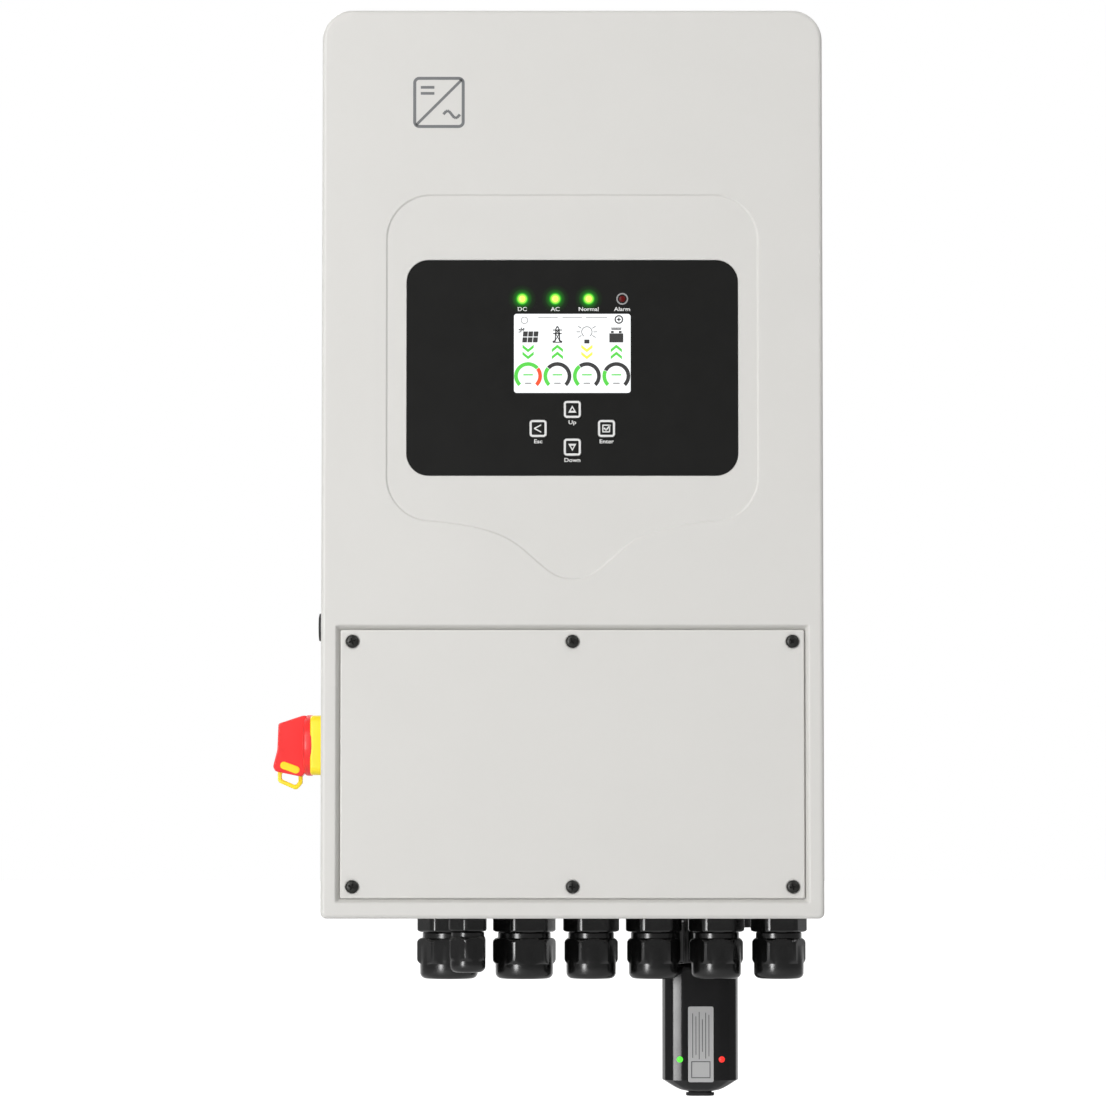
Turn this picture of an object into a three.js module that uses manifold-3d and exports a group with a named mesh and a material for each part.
// Wall-hung string inverter with a wiring compartment, seven cable glands and a plug-in stick logger.
// Millimetres, +Z up. The front faces -Y, the wall is the plane y = 0, and z = 0 is the body's mid height.
import * as THREE from 'three';
import { mergeVertices } from 'three/addons/utils/BufferGeometryUtils.js';
import Module from 'manifold-3d';

const wasm = await Module();
wasm.setup();

// Driving dimensions
const bodyWidth = 330;
const bodyHeight = 599;
const bodyDepth = 232;
const topRadius = 20;
const bottomRadius = 4;
const frontEdge = 3;
const wall = 3;
const gap = 0.3;
const housingBack = -66.3;
const housingFront = -203;
const coverBack = -205;
const mergeDistance = 1e-4;

const side = bodyWidth / 2;
const top = bodyHeight / 2;
const floor = -top;
const front = -bodyDepth;

// Display panel, measured from the body's mid height
const shieldDepth = 1;
const overlay = { halfWidth: 109, low: -8.9, high: 133.4, radius: 14.5, thickness: 1.2 };
const screen = { halfWidth: 38.6, low: 44.9, high: 98.1 };
const lightSpots = [-33, -11.2, 10.8, 32.9];
const lightHeight = 107.8;
const keySpots = { key_up: [0, 34.7], key_down: [0, 9.8], key_esc: [-22.5, 22.1], key_enter: [22.5, 22.1] };
const keySize = 11.6;
const keyClearance = 0.4;

// Wiring cover and its screws
const coverPlate = { halfWidth: 152.3, low: -286.4, high: -110.2, radius: 2.5, thickness: 2.6 };
const pocketBevel = 4;
const coverSink = 2.4;
const doorway = { halfWidth: 138, low: -272, high: -124.5 };
const ledgeFront = front + 7;
const ledgeThickness = 4;
const screwColumns = [-144.4, 0, 144.4];
const screwRows = [-118, -278.7];
const screwHead = 4.3;
const screwShank = 2;

// Cable glands: radii, then depths below the floor of the box
const longEnds = [10.6, 16, 32.2, 42];
const shortEnds = [9.3, 14, 29.5, 36.6];
const glandKinds = {
  large: { flange: 22.2, nut: 22, collar: 17.8, dome: 19.4, thread: 14.6, bore: 11, ends: longEnds },
  medium: { flange: 19.8, nut: 18.5, collar: 15.4, dome: 16.7, thread: 12.4, bore: 9, ends: longEnds },
  small: { flange: 14.2, nut: 13.4, collar: 11, dome: 11.8, thread: 8.8, bore: 6, ends: shortEnds },
};
const glandRow = -150;
const glands = [
  { kind: 'large', x: -82.5, y: glandRow, turn: 0 },
  { kind: 'large', x: -32, y: glandRow, turn: 11 },
  { kind: 'medium', x: 12.9, y: glandRow, turn: 5 },
  { kind: 'medium', x: 54.9, y: glandRow, turn: 5 },
  { kind: 'medium', x: 96.9, y: glandRow, turn: 4 },
  { kind: 'medium', x: 138.9, y: glandRow, turn: 4 },
  { kind: 'small', x: -69.3, y: -186, turn: 27 },
];
const threadTop = 11;

// Stick logger, its socket and the vent beside it
const logger = {
  x: 87.4, y: -103, halfWidth: 25.7, halfDepth: 17, radius: 13, shoulder: 33.5, sideEnd: 111.9, tip: 119.6,
};
const resetButton = { halfWidth: 9.6, halfDepth: 6, top: 120.9, bottom: 123 };
const vent = { x: 118.5, y: -80, radius: 7.5 };

// Rotary DC switch and push button on the left wall
const dcSwitch = { y: -137, z: -185, base: 20, skirt: 20.5, gripHalf: 8 };
const pushButton = {
  y: -137, z: -105.2, bezel: 12.2, barrel: 10.8, bore: 9.8, cap: 9.4, rim: 4.4, proud: 6,
};

// Heat sink and wall fixings
const sink = {
  halfWidth: 150, low: -105, high: 285, baseFront: -66, baseBack: -58, finTip: -14, fin: 2.6, count: 25,
};
const sheet = 3;

// Finishes
function finish(color, roughness, metalness) {
  return new THREE.MeshStandardMaterial({ color, roughness, metalness });
}

const paint = () => finish(0xdedcd6, 0.55, 0.1);
const blackPlastic = () => finish(0x111112, 0.3, 0);
const darkPlastic = () => finish(0x1c1d1e, 0.6, 0);
const rubber = () => finish(0x18191a, 0.85, 0);
const zincSteel = () => finish(0xb9bcc0, 0.4, 0.9);
const rawAluminium = () => finish(0xa9adb2, 0.45, 0.9);
const blackScrew = () => finish(0x2a2b2a, 0.4, 0.7);
const boardGreen = () => finish(0x1f5b38, 0.6, 0);
const switchRed = () => finish(0xe02a20, 0.4, 0);
const switchYellow = () => finish(0xf5cf12, 0.4, 0);
const terminalGrey = () => finish(0x53585c, 0.6, 0);
const brassBar = () => finish(0xb98a3a, 0.35, 0.9);

const model = new THREE.Group();

// A closed geometry as a solid: shared corners merged, slivers dropped, faces pointing out
function toSolid(geometry) {
  const bare = geometry.index ? geometry.toNonIndexed() : geometry.clone();
  bare.deleteAttribute('normal');
  bare.deleteAttribute('uv');
  const merged = mergeVertices(bare, mergeDistance);
  const points = merged.attributes.position.array;
  const corners = [];
  let volume = 0;
  for (let i = 0; i < merged.index.count; i += 3) {
    const [a, b, c] = merged.index.array.slice(i, i + 3);
    if (a === b || b === c || c === a) continue;
    corners.push([a, b, c]);
    const [p, q, r] = [a, b, c].map((corner) => new THREE.Vector3().fromArray(points, 3 * corner));
    volume += p.dot(q.cross(r));
  }
  if (volume < 0) corners.forEach((corner) => corner.reverse());
  return new wasm.Manifold(new wasm.Mesh({
    numProp: 3,
    vertProperties: new Float32Array(points),
    triVerts: new Uint32Array(corners.flat()),
  }));
}

function toGeometry(solid) {
  const mesh = solid.getMesh();
  const geometry = new THREE.BufferGeometry();
  geometry.setAttribute('position', new THREE.BufferAttribute(new Float32Array(mesh.vertProperties), 3));
  geometry.setIndex(new THREE.BufferAttribute(new Uint32Array(mesh.triVerts), 1));
  geometry.computeVertexNormals();
  return geometry;
}

function addNode(name, solid, material, parent = model) {
  const mesh = new THREE.Mesh(toGeometry(solid), material);
  mesh.name = name;
  parent.add(mesh);
  return mesh;
}

const join = (first, ...others) => others.reduce((sum, other) => sum.add(other), first);
const cut = (first, ...others) => others.reduce((rest, other) => rest.subtract(other), first);

// Outlines: a rounded rectangle, and a closed polygon
function outline(left, low, right, high, topR, bottomR = topR) {
  const shape = new THREE.Shape();
  const quarter = Math.PI / 2;
  shape.moveTo(left + bottomR, low);
  shape.lineTo(right - bottomR, low);
  shape.absarc(right - bottomR, low + bottomR, bottomR, -quarter, 0, false);
  shape.lineTo(right, high - topR);
  shape.absarc(right - topR, high - topR, topR, 0, quarter, false);
  shape.lineTo(left + topR, high);
  shape.absarc(left + topR, high - topR, topR, quarter, 2 * quarter, false);
  shape.lineTo(left, low + bottomR);
  shape.absarc(left + bottomR, low + bottomR, bottomR, 2 * quarter, 3 * quarter, false);
  return shape;
}

const polygon = (points) => new THREE.Shape(points.map(([u, v]) => new THREE.Vector2(u, v)));
const bodyOutline = (inset) => outline(
  inset - side, floor + inset, side - inset, top - inset, topRadius - inset, bottomRadius - inset);

function extrude(shape, depth, options = {}) {
  return new THREE.ExtrudeGeometry(shape, { depth, bevelEnabled: false, curveSegments: 2, ...options });
}

// An outline drawn in x and z, carried from yBack forward to yFront
function frontSlab(shape, yBack, yFront, options = {}) {
  const geometry = extrude(shape, yBack - yFront, options);
  geometry.rotateX(Math.PI / 2);
  geometry.translate(0, yBack, 0);
  return toSolid(geometry);
}

// An outline drawn in y and z, carried along x
function sideSlab(shape, xLow, xHigh) {
  const geometry = extrude(shape, xHigh - xLow);
  const basis = new THREE.Matrix4();
  basis.makeBasis(new THREE.Vector3(0, 1, 0), new THREE.Vector3(0, 0, 1), new THREE.Vector3(1, 0, 0));
  geometry.applyMatrix4(basis);
  geometry.translate(xLow, 0, 0);
  return toSolid(geometry);
}

// An outline drawn in x and y, carried up z
function column(shape, zLow, zHigh) {
  const geometry = extrude(shape, zHigh - zLow);
  geometry.translate(0, 0, zLow);
  return toSolid(geometry);
}

function block(xs, ys, zs) {
  const spans = [xs, ys, zs].map(([low, high]) => high - low);
  const middles = [xs, ys, zs].map(([low, high]) => (low + high) / 2);
  const geometry = new THREE.BoxGeometry(...spans);
  geometry.translate(...middles);
  return toSolid(geometry);
}

// A round bar along one axis, between low and high, with its middle at the other two coordinates
function rod(axis, radius, low, high, middle, sides = 12) {
  const geometry = new THREE.CylinderGeometry(radius, radius, high - low, sides);
  if (axis === 'x') geometry.rotateZ(Math.PI / 2);
  if (axis === 'z') geometry.rotateX(Math.PI / 2);
  const at = { x: 0, y: 0, z: 0, ...middle };
  at[axis] = (low + high) / 2;
  geometry.translate(at.x, at.y, at.z);
  return toSolid(geometry);
}

// A closed profile of [radius, height] pairs turned about z
function turned(profile, sides = 12) {
  const points = [...profile, profile[0]].map(([radius, height]) => new THREE.Vector2(radius, height));
  const geometry = new THREE.LatheGeometry(points, sides);
  geometry.rotateX(Math.PI / 2);
  return toSolid(geometry);
}

// Housing shell: a tub open at the front, with holes for all that passes its floor and left wall
function mainHousing() {
  const shell = frontSlab(bodyOutline(0), housingBack, housingFront, { curveSegments: 3 });
  const hollow = frontSlab(bodyOutline(wall), housingBack - wall, housingFront - 1);
  const floorHole = (radius, at) => rod('z', radius, floor - 1, floor + wall + 1, at);
  const sideHole = (radius, at) => rod('x', radius, -side - 1, wall + 1 - side, { y: at.y, z: at.z });
  const holes = glands.map(({ kind, x, y }) => floorHole(glandKinds[kind].thread + 2 * gap, { x, y }));
  holes.push(floorHole(12.6, logger), floorHole(5.6, vent));
  holes.push(sideHole(7, dcSwitch), sideHole(pushButton.barrel + 2 * gap, pushButton));
  addNode('main_housing', cut(shell, hollow, ...holes), paint());
}

function ring(outerInset, innerInset, yBack, yFront) {
  const shape = bodyOutline(outerInset);
  shape.holes.push(bodyOutline(innerInset));
  return frontSlab(shape, yBack, yFront);
}

function housingSeal() {
  addNode('housing_seal', ring(0.7, 2.6, housingFront - gap, coverBack + gap), rubber());
}

// The stepped shield around the display: square shoulders above, an eased point below
function shieldOutline() {
  const half = 122.2;
  const high = 176.5;
  const shoulder = -38.9;
  const radius = 29.3;
  const shape = new THREE.Shape();
  shape.moveTo(0, -77);
  shape.bezierCurveTo(12, -77, 18, -70, 29, -60.5);
  shape.bezierCurveTo(42, -49, 52, -43, 92.9, shoulder);
  shape.absarc(half - radius, shoulder + radius, radius, -Math.PI / 2, 0, false);
  shape.lineTo(half, high - radius);
  shape.absarc(half - radius, high - radius, radius, 0, Math.PI / 2, false);
  shape.lineTo(radius - half, high);
  shape.absarc(radius - half, high - radius, radius, Math.PI / 2, Math.PI, false);
  shape.lineTo(-half, shoulder + radius);
  shape.absarc(radius - half, shoulder + radius, radius, Math.PI, 1.5 * Math.PI, false);
  shape.bezierCurveTo(-52, -43, -42, -49, -29, -60.5);
  shape.bezierCurveTo(-18, -70, -12, -77, 0, -77);
  return shape;
}

const screwSpots = screwRows.flatMap((z) => screwColumns.map((x) => ({ x, z })));
const keyHole = ([x, z], size) => outline(x - size / 2, z - size / 2, x + size / 2, z + size / 2, 2.3);
const centredOutline = ({ halfWidth, low, high, radius }, grow) => outline(
  -halfWidth - grow, low - grow, halfWidth + grow, high + grow, radius + grow);

// Sunk pocket for the wiring cover: a sloped rim, then straight down to the ledge
function coverPocket() {
  const straight = frontSlab(centredOutline(coverPlate, gap), ledgeFront, front - 1);
  const steps = 2;
  const slope = [];
  for (let i = 0; i < steps; i += 1) {
    const grow = gap + (pocketBevel * (i + 1)) / steps;
    const depth = front + coverSink * 1.4 * (1 - (i + 0.5) / steps);
    slope.push(frontSlab(centredOutline(coverPlate, grow), depth, front - 1));
  }
  return join(straight, ...slope);
}

function frontCover() {
  const options = {
    bevelEnabled: true, bevelThickness: frontEdge, bevelSize: frontEdge, bevelSegments: 2, curveSegments: 3,
  };
  const blank = frontSlab(bodyOutline(frontEdge), coverBack + frontEdge + 5, front + frontEdge, options);
  const shell = blank.subtract(block([-side - 1, side + 1], [coverBack, 0], [floor - 1, top + 1]));
  const skin = front + 4;
  const ledgeBack = ledgeFront + ledgeThickness;
  const hollow = frontSlab(bodyOutline(wall), coverBack + 1, ledgeBack);
  const upper = outline(wall - side, coverPlate.high + 7, side - wall, top - wall, topRadius - wall, 1);
  const upperHollow = frontSlab(upper, coverBack + 1, skin);
  const shield = frontSlab(shieldOutline(), front + shieldDepth, front - 1, { curveSegments: 4 });
  const seatFloor = front + shieldDepth + overlay.thickness + 0.2;
  const seat = frontSlab(centredOutline(overlay, gap), seatFloor, front - 1);
  const window = block([-41, 41], [skin + 1, front - 1], [screen.low - 3, screen.high + 3]);
  const lightRow = [lightHeight - 3.2, lightHeight + 3.2];
  const lightSlot = block([-38.5, 38.5], [skin + 1, front - 1], lightRow);
  const keyHoles = Object.values(keySpots).map(
    (at) => frontSlab(keyHole(at, keySize - 1.6), skin + 1, front - 1));
  const { halfWidth, low, high } = doorway;
  const opening = frontSlab(outline(-halfWidth, low, halfWidth, high, 6), ledgeBack + 1, front - 1);
  const screwHoles = screwSpots.map(
    (at) => rod('y', screwShank + gap, ledgeFront - 1, ledgeBack + 1, at));
  const solid = cut(shell, hollow, upperHollow, shield, seat, window, lightSlot, opening, coverPocket());
  addNode('front_cover', cut(solid, ...keyHoles, ...screwHoles), paint());
}

function displayOverlay() {
  const shape = centredOutline(overlay, 0);
  const { halfWidth, low, high } = screen;
  shape.holes.push(outline(-halfWidth - gap, low - gap, halfWidth + gap, high + gap, 1));
  Object.values(keySpots).forEach((at) => shape.holes.push(keyHole(at, keySize + 2 * keyClearance)));
  lightSpots.forEach((x) => {
    const hole = new THREE.Path();
    hole.absarc(x, lightHeight, 2.3, 0, 2 * Math.PI, false);
    shape.holes.push(hole);
  });
  const back = front + shieldDepth + overlay.thickness - 0.1;
  const membrane = frontSlab(shape, back, back - overlay.thickness, { curveSegments: 4 });
  addNode('display_overlay', membrane, blackPlastic());
}

// Screen, light pipe and keys stand on the display board and show through the overlay
function displayParts() {
  const { halfWidth, low, high } = screen;
  const glass = block([-halfWidth, halfWidth], [-227, -230.7], [low, high]);
  const frame = block([-halfWidth - 1.6, halfWidth + 1.6], [-222, -227.4], [low - 2, high + 2]);
  addNode('lcd_module', glass.add(frame), finish(0xe8edee, 0.2, 0));
  const bar = block([-36.5, 36.5], [-225, -228.5], [lightHeight - 2, lightHeight + 2]);
  const posts = lightSpots.map((x) => rod('y', 1.9, -231.1, -228, { x, z: lightHeight }, 16));
  addNode('status_light_pipe', join(bar, ...posts), finish(0xcfe8cf, 0.25, 0));
  const board = block([-95, 95], [-217.4, -219], [0, 125]);
  const chips = [[-70, 20], [-70, 80], [62, 30], [62, 90]];
  const parts = chips.map(([x, z]) => block([x - 9, x + 9], [-214.5, -217.6], [z - 9, z + 9]));
  addNode('display_board', join(board, ...parts), boardGreen());
  Object.entries(keySpots).forEach(([name, at]) => {
    const cap = frontSlab(keyHole(at, keySize), -230.3, -231.5);
    const stem = block([at[0] - 3.5, at[0] + 3.5], [-221, -230.5], [at[1] - 3.5, at[1] + 3.5]);
    addNode(name, cap.add(stem), darkPlastic());
  });
}

function wiringCover() {
  const plateBack = front + coverSink + coverPlate.thickness;
  const rim = 0.8;
  const shape = centredOutline(coverPlate, -rim);
  const options = { bevelEnabled: true, bevelThickness: rim, bevelSize: rim, bevelSegments: 1 };
  const plate = frontSlab(shape, plateBack - rim, front + coverSink + rim, options);
  const holes = screwSpots.map((at) => rod('y', screwShank + 2 * gap, plateBack - 9, plateBack + 1, at, 12));
  addNode('wiring_cover', cut(plate, ...holes), paint());
  const strip = outline(-150.5, -284.6, 150.5, -112, 2);
  strip.holes.push(outline(-139, -273, 139, -123.5, 6));
  const seal = frontSlab(strip, ledgeFront - gap, plateBack + gap);
  const sealHoles = screwSpots.map((at) => rod('y', 3, ledgeFront - 5, ledgeFront + 5, at, 12));
  addNode('cover_seal', cut(seal, ...sealHoles), rubber());
  screwSpots.forEach((at, index) => {
    const headBack = front + coverSink - gap;
    const head = rod('y', screwHead, headBack - 2, headBack, at, 18);
    const shank = rod('y', screwShank, headBack - 0.5, ledgeFront + ledgeThickness + 3, at, 12);
    const socket = rod('y', 1.9, headBack - 3, headBack - 1, at, 6);
    addNode(`cover_screw_${index + 1}`, head.add(shank).subtract(socket), blackScrew());
  });
}

// One gland: a hexagonal body screwed through the floor, and a domed nut that clamps the cable
function gland({ kind, x, y, turn }, number) {
  const size = glandKinds[kind];
  const [flangeEnd, collarEnd, hexEnd, tip] = size.ends;
  const holder = new THREE.Group();
  holder.position.set(x, y, floor);
  holder.rotation.z = THREE.MathUtils.degToRad(turn + 30);
  model.add(holder);
  const sharpness = 1.03;
  const hexagon = (corner, low, high) => rod('z', corner * sharpness, low, high, {}, 6);
  const rounding = (radius, low, high, edge) => turned([
    [0, low], [radius - edge, low], [radius, low + edge],
    [radius, high - edge], [radius - edge, high], [0, high]]);
  const flange = hexagon(size.flange, -flangeEnd, -gap);
  const thread = rod('z', size.thread, gap - collarEnd - 9, threadTop, {});
  const body = flange.intersect(rounding(size.flange, -flangeEnd, -gap, 1)).add(thread);
  const bore = rod('z', size.bore, -60, 60, {});
  addNode(`gland_${number}_body`, body.subtract(bore), blackPlastic(), holder);
  const hex = hexagon(size.nut, -hexEnd, -collarEnd).intersect(rounding(size.nut, -hexEnd, -collarEnd, 1.5));
  const round = 4;
  const curve = [0, 1, 2].map((step) => {
    const angle = (step * Math.PI) / 5;
    return [size.dome - round + round * Math.cos(angle), round - tip - round * Math.sin(angle)];
  });
  const dome = turned([[0, 2 - hexEnd], [size.dome, 2 - hexEnd], ...curve, [0, -tip]]);
  const collar = rod('z', size.collar, -collarEnd - 1, -flangeEnd - gap, {});
  const socketEnd = -collarEnd - 11;
  const room = size.thread + 2 * gap;
  const socket = turned([
    [0, 0], [room, 0], [room, socketEnd], [size.bore, socketEnd - 5], [0, socketEnd - 5]]);
  const nut = cut(join(hex, dome, collar), socket, rod('z', size.bore, -60, 0, {}));
  addNode(`gland_${number}_nut`, nut, blackPlastic(), holder);
}

// Stick logger hanging from its socket on a lock ring
function stickLogger() {
  const holder = new THREE.Group();
  holder.position.set(logger.x, logger.y, floor);
  model.add(holder);
  const bore = rod('z', 8.5, -60, 60, {});
  const stub = rod('z', 13, -16.5, -3.5, {});
  const socket = join(rod('z', 19, -4, -gap, {}), stub, rod('z', 12, -1, 11, {}));
  addNode('logger_socket', socket.subtract(bore), blackPlastic(), holder);

  const grip = rod('z', 23.6, -32.8, -5.5, {}, 24);
  const grooves = [];
  for (let i = 0; i < 12; i += 1) {
    const angle = (i * Math.PI) / 6;
    grooves.push(rod('z', 1.6, -29, -9, { x: 24 * Math.cos(angle), y: 24 * Math.sin(angle) }, 6));
  }
  const stubRoom = rod('z', 14.2, -17.5, 0, {});
  const neckRoom = rod('z', 11.6, -40, -10, {});
  addNode('logger_lock_ring', cut(grip, ...grooves, stubRoom, neckRoom), blackPlastic(), holder);

  const { halfWidth, halfDepth, radius, shoulder, sideEnd, tip } = logger;
  const section = column(outline(-halfWidth, -halfDepth, halfWidth, halfDepth, radius), -tip, -shoulder);
  const face = new THREE.Shape();
  face.moveTo(4 - halfWidth, -shoulder);
  face.quadraticCurveTo(-halfWidth, -shoulder, -halfWidth, -shoulder - 6);
  face.lineTo(-halfWidth, -sideEnd);
  face.quadraticCurveTo(1 - halfWidth, -sideEnd - 4, 8 - halfWidth, -tip + 1.5);
  face.quadraticCurveTo(14 - halfWidth, -tip, 0, -tip);
  face.quadraticCurveTo(halfWidth - 14, -tip, halfWidth - 8, -tip + 1.5);
  face.quadraticCurveTo(halfWidth - 1, -sideEnd - 4, halfWidth, -sideEnd);
  face.lineTo(halfWidth, -shoulder - 6);
  face.quadraticCurveTo(halfWidth, -shoulder, halfWidth - 4, -shoulder);
  const stick = section.intersect(frontSlab(face, halfDepth + 1, -halfDepth - 1, { curveSegments: 6 }));
  const neck = join(rod('z', 10.6, -shoulder - 1, -17.5, {}), rod('z', 7.6, -18, -7, {}));
  const buttonRoom = column(outline(-8.1, -4.6, 8.1, 4.6, 4), -tip - 1, -tip + 8);
  addNode('logger_body', join(stick, neck).subtract(buttonRoom), blackPlastic(), holder);

  const pad = resetButton;
  const padOutline = outline(-pad.halfWidth, -pad.halfDepth, pad.halfWidth, pad.halfDepth, 5);
  const cap = column(padOutline, -pad.bottom, -pad.top);
  const stem = column(outline(-7.4, -4, 7.4, 4, 3.6), -pad.top - 1, -tip + 5.5);
  addNode('logger_reset_button', cap.add(stem), rubber(), holder);

  const ventHead = join(
    rod('z', vent.radius, floor - 9.5, floor - gap, vent, 18), rod('z', 5, floor - 1, floor + 8, vent, 18));
  addNode('vent_plug', ventHead.subtract(rod('z', 2.2, floor - 12, floor + 12, vent, 12)), darkPlastic());
}

// Rotary DC switch: yellow plate, inner contact body, red grip and a yellow padlock loop
function rotarySwitch() {
  const { y, z, base, skirt, gripHalf } = dcSwitch;
  const axis = { y, z };
  const plate = sideSlab(outline(y - base, z - base, y + base, z + base, 6), -side - 10.9, -side - gap);
  addNode('dc_switch_base', plate.subtract(rod('x', 5.5, -side - 20, 20 - side, axis)), switchYellow());
  const ears = block([wall + gap - side, 8 - side], [y - 26, y + 26], [z - 20, z + 20]);
  const core = block([7 - side, 55 - side], [y - 21, y + 21], [z - 21, z + 21]);
  const shaftRoom = rod('x', 5.2, -side - 1, 20 - side, axis);
  addNode('dc_switch_body', join(ears, core).subtract(shaftRoom), darkPlastic());

  const profile = polygon([
    [-197.9, 14.7], [-196.4, 15.4], [-180.3, 20.9], [-177.2, 20.9], [-177.2, -16.8], [-181.8, -21.4],
    [-200.4, -17.5], [-201.6, -16.4], [-201.6, -14.2], [-198.6, -2.9]]);
  const grip = frontSlab(profile, gripHalf, -gripHalf).translate([0, y, z]);
  const disc = rod('x', skirt, -183, -177.2, axis, 20);
  const shaft = rod('x', 4, -178, 16 - side, axis, 16);
  const lockRoom = block([-199.1, -181.3], [y - 2.1, y + 2.1], [z - 30, z - 2]);
  addNode('dc_switch_knob', join(disc, grip, shaft).subtract(lockRoom), switchRed());

  const loop = polygon([
    [-181.8, -9], [-198.6, -9], [-198.6, -24.6], [-197.2, -26.2],
    [-187, -31], [-185.4, -30.8], [-181.8, -26.6]]);
  const eye = polygon([[-184.6, -18.5], [-195.9, -18.5], [-195.9, -23.6], [-186.7, -28], [-184.6, -25.6]]);
  loop.holes.push(eye);
  addNode('padlock_slide', frontSlab(loop, 1.6, -1.6).translate([0, y, z]), switchYellow());
}

function powerButton() {
  const { y, z, bezel, barrel, bore, cap, rim, proud } = pushButton;
  const axis = { y, z };
  const flange = rod('x', bezel, -side - rim, -side - gap, axis, 20);
  const tube = rod('x', barrel, -side - 1, 16 - side, axis, 20);
  const hole = rod('x', bore, -side - 10, 20 - side, axis, 20);
  addNode('power_button_bezel', flange.add(tube).subtract(hole), zincSteel());
  const face = rod('x', cap, -side - proud, 6 - side, axis, 20);
  const stem = rod('x', 5, 5 - side, 14 - side, axis, 16);
  addNode('power_button_cap', face.add(stem), darkPlastic());
}

// Extruded heat sink: one base with a comb of fins running up and down
function heatSink() {
  const { halfWidth, low, high, baseFront, baseBack, finTip, fin, count } = sink;
  const points = [[-halfWidth, baseFront], [halfWidth, baseFront], [halfWidth, baseBack]];
  const pitch = (2 * halfWidth - fin) / (count - 1);
  for (let i = count - 1; i >= 0; i -= 1) {
    const left = i * pitch - halfWidth;
    const root = i === count - 1 ? [] : [[left + fin, baseBack]];
    points.push(...root, [left + fin, finTip], [left, finTip]);
    if (i > 0) points.push([left, baseBack]);
  }
  addNode('heat_sink', column(polygon(points), low, high), rawAluminium());
}

function wallFixings() {
  const plate = polygon([
    [0, -20], [-sheet, -20], [-sheet, 196], [-9, 202], [-9, 215.7], [-6, 215.7], [-6, 203.2], [0, 197.2]]);
  const slots = [];
  for (const x of [-80, 80]) {
    for (const z of [20, 95, 170]) {
      slots.push(frontSlab(outline(x - 9, z - 3.5, x + 9, z + 3.5, 3.4), 1, -sheet - 1));
    }
  }
  addNode('wall_bracket', cut(sideSlab(plate, -110, 110), ...slots), zincSteel());
  const hook = polygon([
    [-10.7, 120], [-13.7, 120], [-13.7, 219], [-1.5, 219],
    [-1.5, 205], [-4.5, 205], [-4.5, 216], [-10.7, 216]]);
  addNode('hanger_bracket', sideSlab(hook, -100, 100), zincSteel());
  const foot = polygon([
    [0, -285], [-66, -285], [-66, -250], [-63, -250], [-63, -282], [-3, -282], [-3, -250], [0, -250]]);
  const footHoles = [-40, 40].map((x) => rod('y', 3.5, -4, 1, { x, z: -266 }, 12));
  addNode('lower_bracket', cut(sideSlab(foot, -60, 60), ...footHoles), zincSteel());
}

// Electronics above the divider
function electronics() {
  const board = block([-140, 140], [-84, -82], [-84, 280]);
  const modules = [[-90, 210], [0, 210], [90, 210], [90, 0]].map(
    ([x, z]) => block([x - 26, x + 26], [-95, -83], [z - 20, z + 20]));
  addNode('power_board', join(board, ...modules), boardGreen());
  const [lower, upper] = [-190, -188.4];
  const control = block([-120, 60], [lower, upper], [150, 280]);
  const chips = [[-90, 200], [-50, 245], [10, 180]].map(
    ([x, z]) => block([x - 10, x + 10], [lower - 3, lower + 0.5], [z - 10, z + 10]));
  addNode('control_board', join(control, ...chips), boardGreen());
  [[-100, 130], [-100, 85]].forEach(([x, z], index) => {
    addNode(`dc_link_capacitor_${index + 1}`, rod('y', 17.5, -138, -85, { x, z }), darkPlastic());
  });
  const coils = { boost_inductor: [-80, 0], filter_inductor: [20, 90] };
  Object.entries(coils).forEach(([name, [x, z]]) => {
    const coil = new THREE.TorusGeometry(30, 14, 8, 16);
    coil.rotateX(Math.PI / 2);
    coil.translate(x, -100, z);
    addNode(name, toSolid(coil), finish(0xa8632c, 0.4, 0.6));
  });
  addNode('divider_plate', block([-155, 155], [-190, -75], [-92, -90]), zincSteel());
}

// A terminal block: a stepped rail with walls between its wire entries, facing the doorway
function terminalBlock(name, left, poles, pitch) {
  const right = left + poles * pitch;
  const back = block([left, right], [-88, -75], [-190, -140]);
  const step = block([left, right], [-104, -87], [-182, -150]);
  const walls = [];
  for (let i = 0; i <= poles; i += 1) {
    const x = Math.min(Math.max(left + i * pitch, left + 1), right - 1);
    walls.push(block([x - 1, x + 1], [-108, -76], [-192, -138]));
  }
  const entries = [];
  for (let i = 0; i < poles; i += 1) {
    const x = left + (i + 0.5) * pitch;
    entries.push(block([x - pitch / 2 + 3, x + pitch / 2 - 3], [-100, -92], [-183, -170]));
  }
  addNode(name, cut(join(back, step, ...walls), ...entries), terminalGrey());
}

function wiringParts() {
  terminalBlock('pv_terminal_block', -100, 4, 14);
  terminalBlock('battery_terminal_block', -32, 2, 26);
  terminalBlock('ac_terminal_block', 34, 6, 16);
  const bar = block([-60, 60], [-84, -76], [-226, -216]);
  const holes = [-50, -30, -10, 10, 30, 50].map((x) => rod('z', 2.6, -230, -210, { x, y: -80 }, 10));
  addNode('ground_bar', cut(bar, ...holes), brassBar());
}

mainHousing();
housingSeal();
frontCover();
displayOverlay();
displayParts();
wiringCover();
glands.forEach((place, index) => gland(place, index + 1));
stickLogger();
rotarySwitch();
powerButton();
heatSink();
wallFixings();
electronics();
wiringParts();

export default model;
